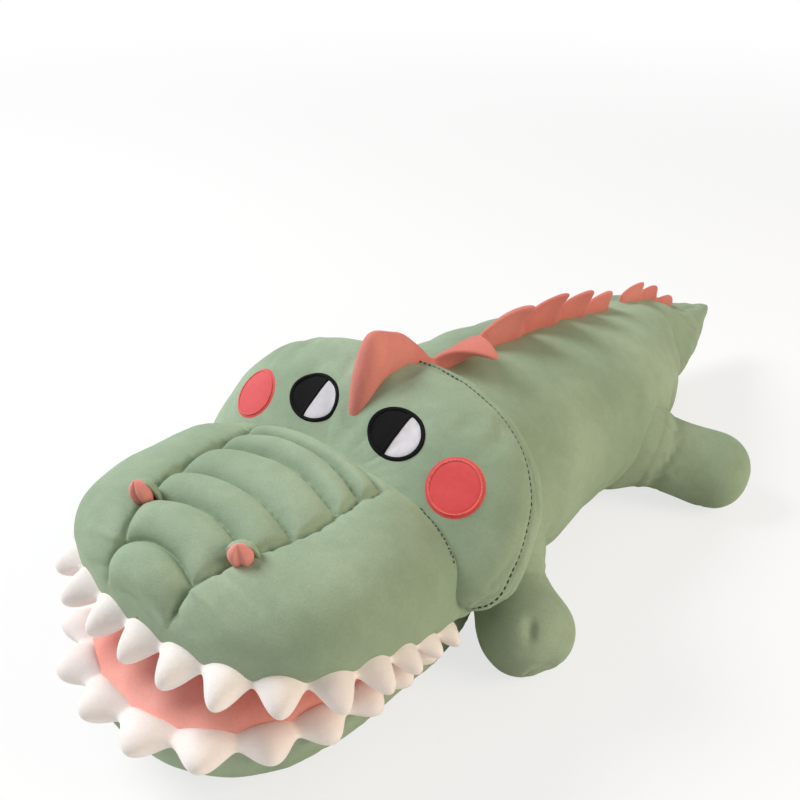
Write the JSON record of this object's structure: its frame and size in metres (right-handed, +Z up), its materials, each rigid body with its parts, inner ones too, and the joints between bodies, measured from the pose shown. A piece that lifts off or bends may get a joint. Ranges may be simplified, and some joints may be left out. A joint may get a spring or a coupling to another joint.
{
  "type": "plush crocodile",
  "caption": "Stuffed plush crocodile lying on its belly, with a hinged open mouth, sewn tooth rows, four stub legs, a tapering tail and a padded back crest.",
  "frame": {"origin": "on the floor, in the middle of the belly's flat", "axes": "+Z up, the snout points along -Y, the toy's left side is +X"},
  "size_m": [0.286, 0.6832, 0.2032],
  "materials": {
    "green_velour": "short soft pile, sage green",
    "pink_velour": "short soft pile, coral pink",
    "crest_velour": "short soft pile, dusty salmon",
    "white_velour": "short soft pile, white",
    "black_embroidery": "satin stitch",
    "white_embroidery": "satin stitch",
    "coral_satin": "satin cloth",
    "coral_thread": "thread",
    "fibre_filling": "loose polyester fibre"
  },
  "bodies": {
    "root": {"torso_cover": "green_velour", "torso_filling": "fibre_filling", "head_cover": "green_velour", "head_filling": "fibre_filling", "snout_cover": "green_velour", "snout_filling": "fibre_filling", "palate_lining": "pink_velour", "upper_teeth": "white_velour", "head_crest": "crest_velour", "back_crest": "crest_velour", "left_eye_rim": "black_embroidery", "left_eye_black": "black_embroidery", "left_eye_white": "white_embroidery", "left_cheek_patch": "coral_satin", "left_cheek_stitching": "coral_thread", "left_nostril_cup": "green_velour", "left_nostril_petal": "pink_velour", "right_eye_rim": "black_embroidery", "right_eye_black": "black_embroidery", "right_eye_white": "white_embroidery", "right_cheek_patch": "coral_satin", "right_cheek_stitching": "coral_thread", "right_nostril_cup": "green_velour", "right_nostril_petal": "pink_velour"},
    "jaw": {"jaw_cover": "green_velour", "jaw_filling": "fibre_filling", "jaw_lining": "pink_velour", "lower_teeth": "white_velour"},
    "tail": {"tail_cover": "green_velour", "tail_filling": "fibre_filling", "tail_crest": "crest_velour"},
    "left_front_leg": {"left_front_leg_cover": "green_velour", "left_front_leg_filling": "fibre_filling"},
    "left_hind_leg": {"left_hind_leg_cover": "green_velour", "left_hind_leg_filling": "fibre_filling"},
    "right_front_leg": {"right_front_leg_cover": "green_velour", "right_front_leg_filling": "fibre_filling"},
    "right_hind_leg": {"right_hind_leg_cover": "green_velour", "right_hind_leg_filling": "fibre_filling"}
  },
  "joints": [
    {"name": "jaw_hinge", "type": "hinge", "parent": "root", "child": "jaw", "pos_m": [0, -0.14, 0.0285], "axis": [1, 0, 0], "range_deg": [-5, 12], "stiffness_Nm_per_rad": 4},
    {"name": "left_front_leg_lift", "type": "hinge", "parent": "root", "child": "left_front_leg", "pos_m": [0.07, -0.088, 0.043], "axis": [0, -1, 0], "range_deg": [-4, 18], "stiffness_Nm_per_rad": 0.4},
    {"name": "right_front_leg_lift", "type": "hinge", "parent": "root", "child": "right_front_leg", "pos_m": [-0.07, -0.088, 0.043], "axis": [0, 1, 0], "range_deg": [-4, 18], "stiffness_Nm_per_rad": 0.4},
    {"name": "left_hind_leg_lift", "type": "hinge", "parent": "root", "child": "left_hind_leg", "pos_m": [0.064, 0.098, 0.036], "axis": [0, -1, 0], "range_deg": [-4, 12], "stiffness_Nm_per_rad": 0.4},
    {"name": "right_hind_leg_lift", "type": "hinge", "parent": "root", "child": "right_hind_leg", "pos_m": [-0.064, 0.098, 0.036], "axis": [0, 1, 0], "range_deg": [-4, 12], "stiffness_Nm_per_rad": 0.4},
    {"name": "tail_wag", "type": "hinge", "parent": "root", "child": "tail", "pos_m": [0, 0.155, 0.064], "axis": [0, 0, 1], "range_deg": [-6, 6], "stiffness_Nm_per_rad": 1.5}
  ]
}
